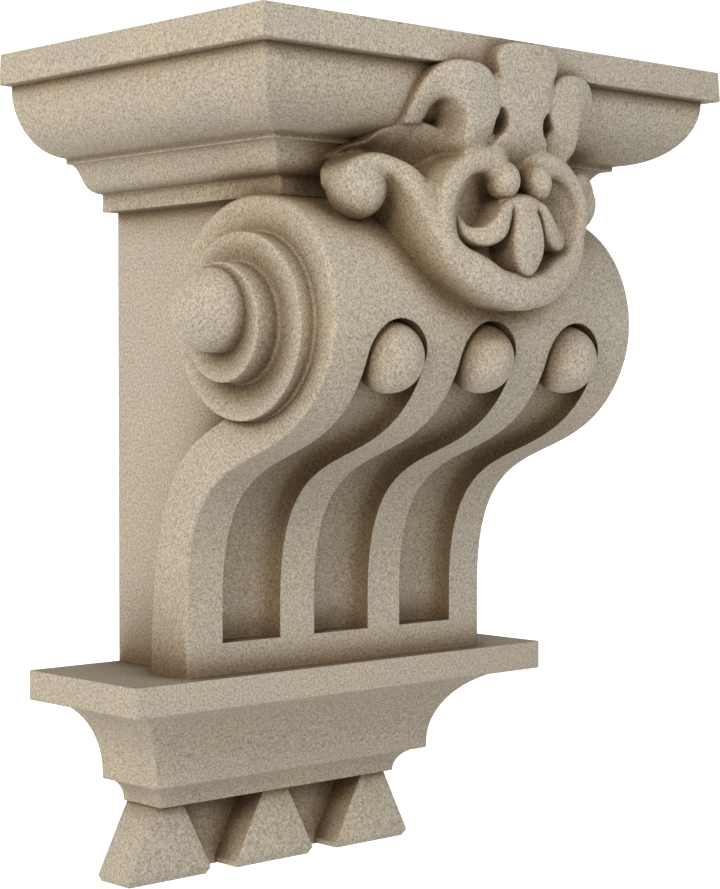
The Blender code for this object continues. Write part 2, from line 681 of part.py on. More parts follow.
def fill_pockets(mesh):
    """Make the stone solid where overlapping forms closed in a pocket: only the outer skin stays."""
    unseen = set(mesh.verts)
    skins = []
    while unseen:
        skin = [unseen.pop()]
        for vert in skin:
            for edge in vert.link_edges:
                other = edge.other_vert(vert)
                if other in unseen:
                    unseen.remove(other)
                    skin.append(other)
        skins.append(skin)
    skins.sort(key=len)
    for skin in skins[:-1]:
        bmesh.ops.delete(mesh, geom=skin, context="VERTS")


def finish(body):
    """Weld stray points, shade the rounds smooth and give the stone its material."""
    mesh = bmesh.new()
    mesh.from_mesh(body.data)
    bmesh.ops.remove_doubles(mesh, verts=mesh.verts, dist=WELD)
    bmesh.ops.dissolve_degenerate(mesh, dist=WELD, edges=mesh.edges)
    fill_pockets(mesh)
    bmesh.ops.triangulate(mesh, faces=mesh.faces)
    mesh.to_mesh(body.data)
    mesh.free()
    body.data.shade_smooth()
    body.data.set_sharp_from_angle(angle=math.radians(38.0))
    body.data.materials.clear()
    body.data.materials.append(stone_material())
    print("corbel triangles:", len(body.data.polygons))


clear_scene()
finish(corbel())
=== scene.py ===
import json
import math

import bmesh
import bpy
from mathutils import Matrix, Vector

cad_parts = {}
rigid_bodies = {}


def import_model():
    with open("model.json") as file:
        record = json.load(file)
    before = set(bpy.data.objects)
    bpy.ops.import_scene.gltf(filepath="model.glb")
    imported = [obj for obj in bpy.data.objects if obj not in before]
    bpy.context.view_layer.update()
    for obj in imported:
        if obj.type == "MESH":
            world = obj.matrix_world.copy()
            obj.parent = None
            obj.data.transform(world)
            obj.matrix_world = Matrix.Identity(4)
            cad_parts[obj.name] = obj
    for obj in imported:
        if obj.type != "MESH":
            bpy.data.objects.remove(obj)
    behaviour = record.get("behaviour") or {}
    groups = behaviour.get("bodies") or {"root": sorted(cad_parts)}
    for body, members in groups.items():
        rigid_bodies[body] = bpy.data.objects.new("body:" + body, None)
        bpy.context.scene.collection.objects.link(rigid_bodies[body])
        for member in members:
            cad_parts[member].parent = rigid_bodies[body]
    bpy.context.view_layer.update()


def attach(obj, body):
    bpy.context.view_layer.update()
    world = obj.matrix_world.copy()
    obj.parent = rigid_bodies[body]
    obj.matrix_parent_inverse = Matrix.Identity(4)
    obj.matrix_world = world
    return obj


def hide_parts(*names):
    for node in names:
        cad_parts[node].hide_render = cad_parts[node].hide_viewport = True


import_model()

# Overall size
TOTAL_HEIGHT = 0.610
CAP_WIDTH = 0.4534
CAP_DEPTH = 0.2942

# Cap mouldings from the top down
FASCIA_HEIGHT = 0.0221
OVOLO_SET_BACK = 0.0103
OVOLO_STILT = 0.0011
OVOLO_RADIUS = 0.0472
FILLET_HEIGHT = 0.0042
FILLET_SET_BACK = 0.0053
CYMA_HEIGHT = 0.0202
CYMA_PROJECTION = 0.0274
CYMA_LEAN = math.radians(62.0)
BAND_HEIGHT = 0.0131

# Back block, and how far the console's sides stand out from it
BLOCK_WIDTH = 0.2450
CONSOLE_PROUD = 0.0255

# Console outline in side view
HEAD_RADIUS = 0.0834
HEAD_CENTRE_DEPTH = 0.1897
HEAD_OVERLAP = 0.0008
HEAD_LEAVING_ANGLE = math.radians(-28.4)
SHAFT_DEPTH = 0.1148
SHAFT_FOOT_HEIGHT = 0.0497
STRAP_THICKNESS = 0.0405
HEAD_EDGE_ROUND = 0.0052
STRAP_EDGE_ROUND = 0.0025
SOFT_EDGE_SHARE = 0.25
CRISP_EDGE_SHARE = 0.55
STRAP_SPRING_ANGLE = math.radians(33.0)

# Three flutes down the console's front, each with a half ball in its round top
FLUTE_COUNT = 3
FLUTE_WIDTH = 0.0543
FLUTE_DEPTH = 0.0195
FLUTE_APEX_ARC = 0.1328
FLUTE_SILL_HEIGHT = 0.0227
FLUTE_SQUARENESS = 2.8
FLUTE_TOP_ANGLES = (2, 6, 11, 16, 22, 28, 35, 42, 50, 58, 66, 74, 82, 90)
BALL_RADIUS = 0.0245
BALL_SINK = 0.0080
BALL_DROP = 0.0025

# Volutes on both sides of the head
VOLUTE_SHRINK_PER_TURN = 0.6305
VOLUTE_RISE_PER_TURN = 0.0170
VOLUTE_LOG_RADIUS = 0.1006
VOLUTE_FIRST_HEIGHT = -0.0037
VOLUTE_CROWN_TURN = 0.17
VOLUTE_CLEAR_TURN = 0.55
VOLUTE_TUCK_TURN = 2.3
VOLUTE_TURNS = 2.6
VOLUTE_EDGE_ROUND = 0.0018
VOLUTE_COVE = 0.0024
VOLUTE_HOLLOW = 0.0020
VOLUTE_SUNK = 0.0001
EYE_RADIUS = 0.0284
EYE_LIFT = 0.0035
# From this turn on, the console's strap lies behind the scroll
VOLUTE_STRAP_TURN = 0.70
# The innermost tread runs in under the eye to this radius
VOLUTE_INNER_END = 0.4 * EYE_RADIUS

# Ledge and the mouldings under it
LEDGE_WIDTH = 0.4060
LEDGE_DEPTH = 0.1306
LEDGE_HEIGHT = 0.0219
CAVETTO_SET_BACK = 0.0036
CAVETTO_RADIUS = 0.0610
CAVETTO_FILLET = 0.0037
LOWER_CAVETTO_SET_BACK = 0.0010
LOWER_CAVETTO_RADIUS = 0.0187

# Guttae and the panel behind them
GUTTA_COUNT = 3
GUTTA_HEIGHT = 0.0585
GUTTA_TOP_WIDTH = 0.0240
GUTTA_BOTTOM_WIDTH = 0.0790
GUTTA_SET_BACK = 0.0084
GUTTA_CHAMFER_HEIGHT = 0.0048
GUTTA_CHAMFER_INSET = 0.0029
GUTTA_SPACING = 0.1033
PANEL_DEPTH = 0.0107

# Carved palmette: all its forms are shares of its height, and it hangs from the cap's front
ORNAMENT_HEIGHT = 0.1808
ORNAMENT_TOP_DROP = 0.0046
ORNAMENT_FORWARD = 0.0168

TOP = TOTAL_HEIGHT / 2.0
BOTTOM = -TOTAL_HEIGHT / 2.0
BLOCK_HALF = BLOCK_WIDTH / 2.0
CONSOLE_HALF = BLOCK_HALF + CONSOLE_PROUD
LEDGE_TOP = (BOTTOM + GUTTA_HEIGHT + LOWER_CAVETTO_RADIUS + LOWER_CAVETTO_SET_BACK
             + CAVETTO_FILLET + CAVETTO_RADIUS + LEDGE_HEIGHT)

# Fine steps, small edge rounds and the carving's voxel size
ARC_STEPS = 20
TURN_STEPS = 96
SECTION_SIDES = 16
OVERLAP = 0.006
ROUND_STEP = 10.0
ARRIS = 0.0012
CORNER = 0.0016
CARVING_VOXEL = 0.00135
CARVING_SUNK = 0.004

# The stone's two tones, its speckle and grain, and the painted shade darkening its hollows and crevices,
# each by openness
WARM_STONE = (0.42, 0.36, 0.275)
GREY_STONE = (0.385, 0.345, 0.285)
HOLLOW_PAINTED_SHADE = [(0.30, (0.75, 0.67, 0.57)), (0.52, (0.83, 0.77, 0.69)), (0.70, (0.92, 0.88, 0.83)),
                 (0.92, (1.0, 1.0, 1.0))]
CREVICE_PAINTED_SHADE = [(0.35, (0.50, 0.43, 0.35)), (0.64, (0.56, 0.49, 0.41)), (0.82, (0.83, 0.79, 0.73)),
                  (0.95, (1.0, 1.0, 1.0))]
# Painted shade in the flutes, on their floors and on their walls, between these heights
FLUTE_PAINTED_SHADE = (0.58, 0.54, 0.47)
FLUTE_SHADE_HEIGHTS = (-0.04, 0.02, 0.07, 0.11)
FLUTE_WALL_PAINTED_SHADE = (0.64, 0.57, 0.48)
FLUTE_WALL_SHADE_HEIGHTS = (-0.20, -0.12, 0.07, 0.11)
# How far the painted shade in hollows and in crevices reaches
HOLLOW_REACH = 0.080
CREVICE_REACH = 0.026
# Painted shade on the ledge's upward faces, under the overhanging cap and console
LEDGE_TOP_PAINTED_SHADE = (0.60, 0.58, 0.54)
STONE_ROUGHNESS = 0.93

# The photograph's viewpoint and the stage
CAMERA_PLACE = (-1.06694, -1.29904, 0.06658)
CAMERA_FORWARD = (0.67565, 0.73672, -0.02715)
CAMERA_RIGHT = (0.73699, -0.67590, 0.0)
CAMERA_LENS = 85.70
LIGHT_AIM = (0.0, -0.12, 0.05)
FLOOR_Z = -0.90


def solid(name, points, faces, collection):
    """A closed mesh object with its faces turned outward."""
    mesh = bpy.data.meshes.new(name)
    mesh.from_pydata(points, [], faces)
    body = bmesh.new()
    body.from_mesh(mesh)
    bmesh.ops.remove_doubles(body, verts=body.verts, dist=1e-6)
    bmesh.ops.recalc_face_normals(body, faces=body.faces)
    body.to_mesh(mesh)
    body.free()
    item = bpy.data.objects.new(name, mesh)
    collection.objects.link(item)
    return item


def lofted(name, rings, collection):
    """A closed solid through a row of rings that all have the same number of points."""
    count = len(rings[0])
    points = [point for ring in rings for point in ring]
    faces = [list(range(count))]
    for row in range(len(rings) - 1):
        for k in range(count):
            after = (k + 1) % count
            low = row * count
            high = low + count
            faces.append([low + k, low + after, high + after, high + k])
    faces.append([(len(rings) - 1) * count + k for k in range(count)])
    return solid(name, points, faces, collection)


def arc(centre, radius, start, end, steps):
    """Points on a circle, both ends included; angles in radians."""
    turn = (end - start) / steps
    return [(centre[0] + radius * math.cos(start + turn * i),
             centre[1] + radius * math.sin(start + turn * i)) for i in range(steps + 1)]


def bezier(p0, p1, p2, p3, steps):
    """Points on a cubic Bezier curve, both ends included."""
    points = []
    for i in range(steps + 1):
        t = i / steps
        u = 1.0 - t
        weights = (u ** 3, 3 * u * u * t, 3 * u * t * t, t ** 3)
        points.append(tuple(sum(w * p[k] for w, p in zip(weights, (p0, p1, p2, p3)))
                            for k in range(len(p0))))
    return points


def extruded(name, outline, half_width, collection):
    """An outline of (depth, z) points, extruded across x from -half_width to half_width."""
    return lofted(name, [[(x, -depth, z) for depth, z in outline]
                         for x in (-half_width, half_width)], collection)


def cyma_curve(inset, z):
    """A small hollow that turns over into a larger round, ending level."""
    round_share = 0.72
    middle = (inset + (1.0 - round_share) * CYMA_PROJECTION, z - 0.42 * CYMA_HEIGHT)
    end = (inset + CYMA_PROJECTION, z - CYMA_HEIGHT)
    lean = (math.cos(CYMA_LEAN), -math.sin(CYMA_LEAN))
    hollow = 0.4 * math.hypot(middle[0] - inset, middle[1] - z)
    swell = 0.42 * math.hypot(end[0] - middle[0], end[1] - middle[1])
    first = bezier((inset, z), (inset + hollow * 0.85, z - hollow * 0.5),
                   (middle[0] - lean[0] * hollow, middle[1] - lean[1] * hollow), middle, 3)
    second = bezier(middle, (middle[0] + lean[0] * swell, middle[1] + lean[1] * swell),
                    (end[0] - swell, end[1]), end, 5)
    return first[1:] + second[1:]


def cap_bottom():
    """The height of the underside of the cap's band."""
    return (TOP - FASCIA_HEIGHT - OVOLO_STILT - OVOLO_RADIUS - FILLET_HEIGHT
            - CYMA_HEIGHT - BAND_HEIGHT)


def head_centre():
    """The middle of the console's round head, as (depth, z)."""
    return (HEAD_CENTRE_DEPTH, cap_bottom() + HEAD_OVERLAP - HEAD_RADIUS)


def front_curve(steps):
    """The console's front from the crown of the head down to its foot, as (depth, z)."""
    centre = head_centre()
    points = arc(centre, HEAD_RADIUS, 0.5 * math.pi, HEAD_LEAVING_ANGLE, 2 * steps)
    start = points[-1]
    foot = (SHAFT_DEPTH, LEDGE_TOP + SHAFT_FOOT_HEIGHT)
    drop = start[1] - foot[1]
    reach = 0.581 * drop
    rise = 0.841 * drop
    leaving = (math.sin(HEAD_LEAVING_ANGLE), -math.cos(HEAD_LEAVING_ANGLE))
    points += bezier(start, (start[0] + reach * leaving[0], start[1] + reach * leaving[1]),
                     (foot[0], foot[1] + rise), foot, 2 * steps)[1:]
    return points


def strap_back_curve(steps):
    """The back edge of the console's side strap, from the head down to the ledge."""
    centre = head_centre()
    start = (centre[0] - 0.32 * HEAD_RADIUS, centre[1] - 0.81 * HEAD_RADIUS)
    foot = (SHAFT_DEPTH - STRAP_THICKNESS, LEDGE_TOP)
    drop = start[1] - foot[1]
    leaving = (-math.cos(STRAP_SPRING_ANGLE), -math.sin(STRAP_SPRING_ANGLE))
    reach = 0.198 * drop
    return bezier(start, (start[0] + reach * leaving[0], start[1] + reach * leaving[1]),
                  (foot[0], foot[1] + 0.93 * drop), foot, steps)


def edge_round(share):
    """The rounding of the console's side edges at a share of the front's length, soft on the head, then
    crisp."""
    t = min(max((share - SOFT_EDGE_SHARE) / (CRISP_EDGE_SHARE - SOFT_EDGE_SHARE), 0.0), 1.0)
    t = t * t * (3.0 - 2.0 * t)
    return HEAD_EDGE_ROUND + (STRAP_EDGE_ROUND - HEAD_EDGE_ROUND) * t


def inset_front(curve, inset):
    """The front curve drawn back into the stone by a share of its edge rounding, as
    (rounding, depth, z)."""
    points = []
    last = len(curve) - 1
    for i, (depth, z) in enumerate(curve):
        before = curve[max(i - 1, 0)]
        after = curve[min(i + 1, last)]
        run = math.dist(before, after)
        radius = edge_round(i / last)
        points.append((radius, depth + inset * radius * (after[1] - before[1]) / run,
                       z - inset * radius * (after[0] - before[0]) / run))
    return points


def rounded_sides():
    """Stations across the console as (side, share of the rounding inward, share of it back from the
    front)."""
    quarter = [(1.0 - math.sin(a), 1.0 - math.cos(a))
               for a in (math.radians(ROUND_STEP * i) for i in range(round(90.0 / ROUND_STEP) + 1))]
    left = [(-1, inward, inset) for inward, inset in quarter[::-1]]
    return left + [(1, inward, inset) for _, inward, inset in left[::-1]]


def along(curve, distance):
    """The point and the outward normal at a distance along a (depth, z) curve."""
    for a, b in zip(curve, curve[1:]):
        length = math.dist(a, b)
        if distance <= length or b is curve[-1]:
            share = distance / length
            step = ((b[0] - a[0]) / length, (b[1] - a[1]) / length)
            point = (a[0] + (b[0] - a[0]) * share, a[1] + (b[1] - a[1]) * share)
            return point, (-step[1], step[0])
        distance -= length
    return curve[-1], (1.0, 0.0)


def curve_length(curve):
    """The length of a (depth, z) curve."""
    return sum(math.dist(a, b) for a, b in zip(curve, curve[1:]))


def flute_centres():
    """The x of each flute's middle: ribs and edges between and beside the flutes are equally wide."""
    rib = (2.0 * CONSOLE_HALF - FLUTE_COUNT * FLUTE_WIDTH) / (FLUTE_COUNT + 1)
    pitch = FLUTE_WIDTH + rib
    first = -CONSOLE_HALF + rib + FLUTE_WIDTH / 2.0
    return [first + pitch * i for i in range(FLUTE_COUNT)]


def ball(name, centre, radii, collection, rings=8, segments=16):
    """An ellipsoid with its poles along Z."""
    rows = []
    for i in range(1, rings):
        polar = math.pi * i / rings
        rows.append([(centre[0] + radii[0] * math.sin(polar) * math.cos(math.tau * k / segments),
                      centre[1] + radii[1] * math.sin(polar) * math.sin(math.tau * k / segments),
                      centre[2] + radii[2] * math.cos(polar)) for k in range(segments)])
    points = [point for row in rows for point in row]
    top = len(points)
    points.append((centre[0], centre[1], centre[2] + radii[2]))
    points.append((centre[0], centre[1], centre[2] - radii[2]))
    faces = []
    last = (rings - 2) * segments
    for k in range(segments):
        after = (k + 1) % segments
        faces.append([top, k, after])
        faces.append([top + 1, last + after, last + k])
        for row in range(rings - 2):
            low = row * segments
            faces.append([low + k, low + segments + k, low + segments + after, low + after])
    return solid(name, points, faces, collection)


def volute_radius(angle):
    """The scroll's edge: it leaves the head's rounded edge at the crown, winds inward and ends under
    the eye."""
    turn = angle / math.tau
    start = HEAD_RADIUS - (0.0004 if turn < 0.25 else 0.0)
    radius = min(start, VOLUTE_LOG_RADIUS * VOLUTE_SHRINK_PER_TURN ** turn)
    tuck = max(turn - VOLUTE_TUCK_TURN, 0.0) / (VOLUTE_TURNS - VOLUTE_TUCK_TURN)
    return radius + (0.8 * EYE_RADIUS - radius) * tuck


def volute_height(angle):
    """How far the scroll's face stands out from the console's side."""
    return VOLUTE_FIRST_HEIGHT + VOLUTE_RISE_PER_TURN * min(angle / math.tau, VOLUTE_TUCK_TURN)


def sheet_point(x, z, d):
    """A point of the palmette's sheet, in metres."""
    unit = ORNAMENT_HEIGHT / SHEET_HEIGHT
    return Vector((x * unit,
                   -(CAP_DEPTH + ORNAMENT_FORWARD + (d - SHEET_FRONT) * unit),
                   TOP - ORNAMENT_TOP_DROP + (z + SHEET_TOP) * unit))


def smooth_row(keys, steps):
    """Catmull-Rom through key rows of any length, both ends included."""
    rows = []
    last = len(keys) - 1
    for i in range(last):
        k0, k1, k2, k3 = keys[max(i - 1, 0)], keys[i], keys[i + 1], keys[min(i + 2, last)]
        for j in range(steps):
            t = j / steps
            rows.append(tuple(0.5 * ((2 * b) + (c - a) * t + (2 * a - 5 * b + 4 * c - d) * t * t
                                     + (3 * b - a - 3 * c + d) * t ** 3)
                              for a, b, c, d in zip(k0, k1, k2, k3)))
    rows.append(tuple(keys[last]))
    return rows


def apply_modifiers(item):
    """Keep the evaluated mesh as the object's own."""
    depsgraph = bpy.context.evaluated_depsgraph_get()
    item.data = bpy.data.meshes.new_from_object(item.evaluated_get(depsgraph))
    item.modifiers.clear()


def boolean(target, collection, operation):
    """Join a collection's solids to the target, or cut them out of it."""
    cut = target.modifiers.new(operation.title(), "BOOLEAN")
    cut.operation = operation
    cut.operand_type = "COLLECTION"
    cut.collection = collection
    cut.solver = "EXACT"
    cut.use_self = operation == "UNION"
    apply_modifiers(target)


def new_collection(name):
    """An empty collection in the scene."""
    collection = bpy.data.collections.new(name)
    bpy.context.scene.collection.children.link(collection)
    return collection


def discard(collection):
    """Remove a collection with the solids in it."""
    for item in list(collection.objects):
        bpy.data.objects.remove(item, do_unlink=True)
    bpy.data.collections.remove(collection)


def eased(profile, radius):
    """The profile with each sharp turn replaced by a small round, where its neighbours leave room."""
    points = [profile[0]]
    for before, corner, after in zip(profile, profile[1:], profile[2:]):
        a = Vector(before) - Vector(corner)
        b = Vector(after) - Vector(corner)
        if min(a.length, b.length) < 2.2 * radius or a.angle(b) > math.radians(150.0):
            points.append(corner)
            continue
        start = Vector(corner) + a.normalized() * radius
        end = Vector(corner) + b.normalized() * radius
        for i in range(4):
            t = i / 3.0
            point = start * (1 - t) ** 2 + Vector(corner) * 2 * t * (1 - t) + end * t * t
            points.append((point.x, point.y))
    points.append(profile[-1])
    return points


def moulding(name, profile, width, depth, collection):
    """A block whose moulding runs round its left, front and right, with eased corners; its profile is
    (inset, z)."""
    rings = []
    for inset, z in profile:
        half = width / 2.0 - inset
        front = -(depth - inset)
        left = arc((-half + CORNER, front + CORNER), CORNER, math.pi, 1.5 * math.pi, 3)
        rings.append([(-half, 0.0, z)] + [(x, y, z) for x, y in left]
                     + [(-x, y, z) for x, y in left[::-1]] + [(half, 0.0, z)])
    return lofted(name, rings, collection)


def cap_profile():
    """The cap from its top face down to the bottom of its band, as (inset, z)."""
    ovolo_foot = OVOLO_SET_BACK + OVOLO_RADIUS
    ovolo_top = TOP - FASCIA_HEIGHT - OVOLO_STILT
    points = [(0.0, TOP), (0.0, TOP - FASCIA_HEIGHT), (OVOLO_SET_BACK, TOP - FASCIA_HEIGHT)]
    points += arc((ovolo_foot, ovolo_top), OVOLO_RADIUS, math.pi, 1.5 * math.pi, ARC_STEPS)
    fillet_foot = ovolo_top - OVOLO_RADIUS - FILLET_HEIGHT
    cyma_start = ovolo_foot + FILLET_SET_BACK
    points += [(ovolo_foot, fillet_foot), (cyma_start, fillet_foot)]
    points += cyma_curve(cyma_start, fillet_foot)
    band_top = fillet_foot - CYMA_HEIGHT
    band_inset = cyma_start + CYMA_PROJECTION
    points.append((band_inset, band_top - BAND_HEIGHT))
    return [(ARRIS, TOP)] + eased(points, ARRIS)[1:]


def ledge_profile():
    """The ledge from its top face down to the top of the guttae, as (inset, z)."""
    underside = LEDGE_TOP - LEDGE_HEIGHT
    points = [(2 * ARRIS, LEDGE_TOP), (0.0, LEDGE_TOP), (0.0, underside), (CAVETTO_SET_BACK, underside)]
    centre = (CAVETTO_SET_BACK, underside - CAVETTO_RADIUS)
    points += arc(centre, CAVETTO_RADIUS, 0.5 * math.pi, 0.0, ARC_STEPS)[1:]
    fillet_foot = centre[1] - CAVETTO_FILLET
    inset = CAVETTO_SET_BACK + CAVETTO_RADIUS + LOWER_CAVETTO_SET_BACK
    points += [(CAVETTO_SET_BACK + CAVETTO_RADIUS, fillet_foot)]
    lower = (inset, fillet_foot - LOWER_CAVETTO_SET_BACK - LOWER_CAVETTO_RADIUS)
    points += arc(lower, LOWER_CAVETTO_RADIUS, 0.5 * math.pi, 0.0, ARC_STEPS // 2)
    return eased(points, ARRIS)


def console_pieces(collection):
    """The wide scrolled console and the narrower block between it and the wall."""
    centre = head_centre()
    front = front_curve(ARC_STEPS)
    back = strap_back_curve(ARC_STEPS)
    sunk_foot = LEDGE_TOP - OVERLAP
    hidden = [(back[-1][0], sunk_foot)] + back[::-1] + [centre]
    front_to_foot = front + [(SHAFT_DEPTH, sunk_foot)]
    rings = []
    for side, inward, inset in rounded_sides():
        edge = side * (CONSOLE_HALF - inward * STRAP_EDGE_ROUND)
        rings.append([(side * (CONSOLE_HALF - inward * radius), -depth, z)
                      for radius, depth, z in inset_front(front_to_foot, inset)]
                     + [(edge, -depth, z) for depth, z in hidden])
    lofted("console", rings, collection)
    middle = [((a[0] + b[0]) / 2.0, (a[1] + b[1]) / 2.0)
              for a, b in zip(back[::2], front[-2 * ARC_STEPS - 1::4])]
    top = cap_bottom() + OVERLAP
    block = [(0.0, top), (centre[0], top), centre] + middle
    block += [(middle[-1][0], sunk_foot), (0.0, sunk_foot)]
    extruded("block", block, BLOCK_HALF, collection)


def flute_section(half, floor):
    """Across the flute: (x, depth into the stone), square-shouldered with a hollow floor."""
    points = []
    sides = 2 * SECTION_SIDES
    for k in range(sides + 1):
        angle = math.pi * k / sides
        x = math.copysign(abs(math.cos(angle)) ** (2.0 / FLUTE_SQUARENESS), math.cos(angle))
        points.append((x * half, floor * max(math.sin(angle), 0.0) ** (2.0 / FLUTE_SQUARENESS)))
    return points


def flute_cutter(x_centre, collection):
    """One flute: a round-topped channel bent over the console's front down to a level sill."""
    curve = front_curve(4 * ARC_STEPS)
    curve.append((SHAFT_DEPTH, LEDGE_TOP))
    end = curve_length(curve) - FLUTE_SILL_HEIGHT
    half = FLUTE_WIDTH / 2.0
    stations = [(FLUTE_APEX_ARC + half * (1.0 - math.cos(angle)), half * math.sin(angle))
                for angle in map(math.radians, FLUTE_TOP_ANGLES)]
    run = end - stations[-1][0]
    steps = 3 * ARC_STEPS
    stations += [(stations[-1][0] + run * i / steps, half) for i in range(1, steps + 1)]
    rings = []
    for distance, reach in stations:
        point, normal = along(curve, distance)
        section = [(reach, -BALL_RADIUS)] + flute_section(reach, FLUTE_DEPTH) + [(-reach, -BALL_RADIUS)]
        rings.append([(x_centre + x, -(point[0] - normal[0] * sink), point[1] - normal[1] * sink)
                      for x, sink in section])
    return lofted("flute", rings, collection)


def flute_balls(collection):
    """The half balls sunk in the flutes' round tops."""
    curve = front_curve(4 * ARC_STEPS)
    point, normal = along(curve, FLUTE_APEX_ARC + FLUTE_WIDTH / 2.0 + BALL_DROP)
    for x in flute_centres():
        centre = (x, -(point[0] - normal[0] * BALL_SINK), point[1] - normal[1] * BALL_SINK)
        ball("ball", centre, (BALL_RADIUS,) * 3, collection, rings=24, segments=48)


def volute_hollow(turn):
    """How deep a tread is hollowed: from nothing at the crown to its full depth a quarter turn on."""
    return VOLUTE_HOLLOW * min(max(4.0 * turn - 1.0, 0.0), 1.0)


def tread_section(outer, inner, foot, cove, high, next_cove, edge, hollow):
    """One tread of the scroll as (radius, height): up the cove at its wall's foot, over its edge and along
    its hollowed face to the next wall's cove."""
    points = []
    for i in range(7):
        a = math.radians(15.0 * i)
        points.append((outer + cove * (1 - math.sin(a)), foot + cove * (1 - math.cos(a))))
    edge = min(edge, 0.3 * (outer - inner))
    for i in range(5):
        a = math.radians(22.5 * i)
        points.append((outer - edge * (1 - math.cos(a)), high - edge * (1 - math.sin(a))))
    start = outer - edge
    width = start - inner - next_cove
    for i in range(1, 7):
        t = i / 6.0
        points.append((start - width * t, high - hollow * math.sin(0.5 * math.pi * t) ** 2))
    return points


def volute(side, collection):
    """A scroll of hollowed treads that winds inward and outward from the head's side to its eye."""
    centre = head_centre()
    count = round(VOLUTE_TURNS * TURN_STEPS)
    base = CONSOLE_HALF - 1.5 * CONSOLE_PROUD
    points = []

    def add(radius, angle, x):
        points.append((side * x, -(centre[0] + radius * math.cos(angle)),
                       centre[1] + radius * math.sin(angle)))
        return len(points) - 1

    angles = [math.tau * i / TURN_STEPS for i in range(count + 1)]
    heights = [CONSOLE_HALF + volute_height(angle) for angle in angles]
    rows = []
    for i, angle in enumerate(angles):
        turn = angle / math.tau
        outer = volute_radius(angle)
        inner = volute_radius(angles[i + TURN_STEPS]) if i + TURN_STEPS <= count else VOLUTE_INNER_END
        below = heights[i - TURN_STEPS] - volute_hollow(turn - 1.0) if turn >= 1.0 else base
        foot = max(below, CONSOLE_HALF - VOLUTE_SUNK) if turn > VOLUTE_STRAP_TURN else base
        cove = VOLUTE_COVE * min(max((turn - VOLUTE_STRAP_TURN) / 0.15, 0.0), 1.0)
        cove = min(cove, 0.45 * (outer - VOLUTE_INNER_END), 0.8 * max(heights[i] - foot, 0.0))
        next_cove = min(VOLUTE_COVE, 0.4 * (outer - inner))
        crisp = min(max((turn - VOLUTE_CROWN_TURN) / (VOLUTE_CLEAR_TURN - VOLUTE_CROWN_TURN), 0.0), 1.0)
        edge = HEAD_EDGE_ROUND + (VOLUTE_EDGE_ROUND - HEAD_EDGE_ROUND) * crisp
        section = tread_section(outer, inner, foot, cove, heights[i], next_cove, edge, volute_hollow(turn))
        rows.append([add(r, angle, x) for r, x in section])
    faces = []
    for low, high in zip(rows, rows[1:]):
        for k in range(len(low) - 1):
            faces.append([low[k], high[k], high[k + 1], low[k + 1]])
    mesh = bpy.data.meshes.new("volute")
    mesh.from_pydata(points, [], faces)
    welded = bmesh.new()
    welded.from_mesh(mesh)
    bmesh.ops.remove_doubles(welded, verts=welded.verts, dist=1e-5)
    welded.to_mesh(mesh)
    welded.free()
    item = bpy.data.objects.new("volute", mesh)
    collection.objects.link(item)
    face_outward(mesh, Vector((side, 0.0, 0.0)))
    eye_z = centre[1] + EYE_LIFT
    seat = heights[-1]
    profile = [(CONSOLE_HALF, 1.0)]
    profile += [(seat + EYE_RADIUS * math.sin(a), math.cos(a))
                for a in (math.radians(5.0 * i) for i in range(18))]
    rings = [[(side * x, -(centre[0] + EYE_RADIUS * r * math.cos(math.tau * k / 48)),
               eye_z + EYE_RADIUS * r * math.sin(math.tau * k / 48)) for k in range(48)]
             for x, r in profile]
    lofted("eye", rings, collection)


def face_outward(mesh, direction):
    """Turn an open sheet's faces so that, taken together, they look along the direction."""
    total = sum((Vector(face.normal) * face.area for face in mesh.polygons), Vector())
    if total.dot(direction) < 0.0:
        mesh.flip_normals()


def guttae(collection):
    """Wedge-shaped drops under the ledge, with eased arrises, and the thin panel behind them."""
    top = BOTTOM + GUTTA_HEIGHT
    chamfer_z = BOTTOM + GUTTA_CHAMFER_HEIGHT
    front = LEDGE_DEPTH - (CAVETTO_SET_BACK + CAVETTO_RADIUS + LOWER_CAVETTO_SET_BACK
                           + LOWER_CAVETTO_RADIUS) - GUTTA_SET_BACK
    slope = (GUTTA_BOTTOM_WIDTH - GUTTA_TOP_WIDTH) / 2.0 / (top - chamfer_z)
    levels = [(top + OVERLAP, GUTTA_TOP_WIDTH / 2.0 - slope * OVERLAP, front),
              (chamfer_z + 2 * ARRIS, GUTTA_BOTTOM_WIDTH / 2.0 - 2 * ARRIS * slope, front),
              (chamfer_z, GUTTA_BOTTOM_WIDTH / 2.0 - 0.3 * ARRIS, front - 0.2 * ARRIS),
              (chamfer_z - ARRIS, GUTTA_BOTTOM_WIDTH / 2.0 - 0.8 * ARRIS, front - 0.9 * ARRIS),
              (BOTTOM, GUTTA_BOTTOM_WIDTH / 2.0 - GUTTA_CHAMFER_INSET, front - GUTTA_CHAMFER_INSET)]
    first = -GUTTA_SPACING * (GUTTA_COUNT - 1) / 2.0
    for i in range(GUTTA_COUNT):
        x = first + GUTTA_SPACING * i
        rings = []
        for z, half, depth in levels:
            left = arc((-half + ARRIS, -depth + ARRIS), ARRIS, math.pi, 1.5 * math.pi, 3)
            rings.append([(x - half, 0.0, z)] + [(x + dx, y, z) for dx, y in left]
                         + [(x - dx, y, z) for dx, y in left[::-1]] + [(x + half, 0.0, z)])
        lofted("gutta", rings, collection)
    panel_half = abs(first)
    rings = [[(-panel_half, 0.0, z), (-panel_half, -PANEL_DEPTH, z),
              (panel_half, -PANEL_DEPTH, z), (panel_half, 0.0, z)] for z in (top + OVERLAP, BOTTOM)]
    lofted("panel", rings, collection)


# The palmette is drawn on a sheet 180.8 units high: x from its middle, z down from the cap's top,
# d out from the wall. One unit is one share of its height.
SHEET_HEIGHT = 180.8
SHEET_TOP = 4.6
SHEET_FRONT = 311.0
SHEET_BACK = 200.0


